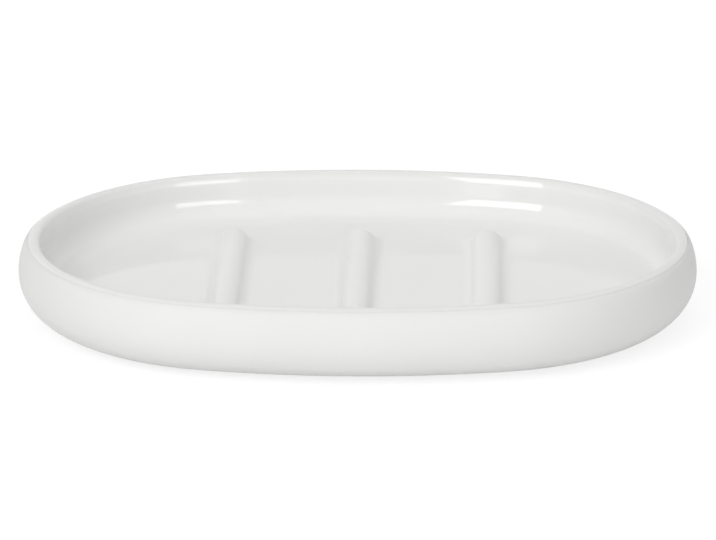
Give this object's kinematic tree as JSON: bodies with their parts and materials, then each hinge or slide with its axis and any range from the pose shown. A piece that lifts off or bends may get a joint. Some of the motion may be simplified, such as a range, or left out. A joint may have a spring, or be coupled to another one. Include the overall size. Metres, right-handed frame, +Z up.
{
  "type": "soap dish",
  "caption": "Oval ceramic soap dish with a bulging, rolled-under wall, a round rim and rounded ribs across a glazed basin, on soft round feet.",
  "frame": {"origin": "centre of the dish in plan, on the surface that its feet stand on", "axes": "+X along the dish's length, +Y to its back, +Z up"},
  "size_m": [0.14, 0.1, 0.0164],
  "materials": {
    "ceramic": "white ceramic, gloss glaze in the basin and over the rim, silky matt coat on the outside",
    "foot_rubber": "matt translucent silicone"
  },
  "bodies": {
    "root": {"dish_body": "ceramic", "foot_pad_front_left": "foot_rubber", "foot_pad_front_right": "foot_rubber", "foot_pad_rear_left": "foot_rubber", "foot_pad_rear_right": "foot_rubber"}
  },
  "joints": []
}
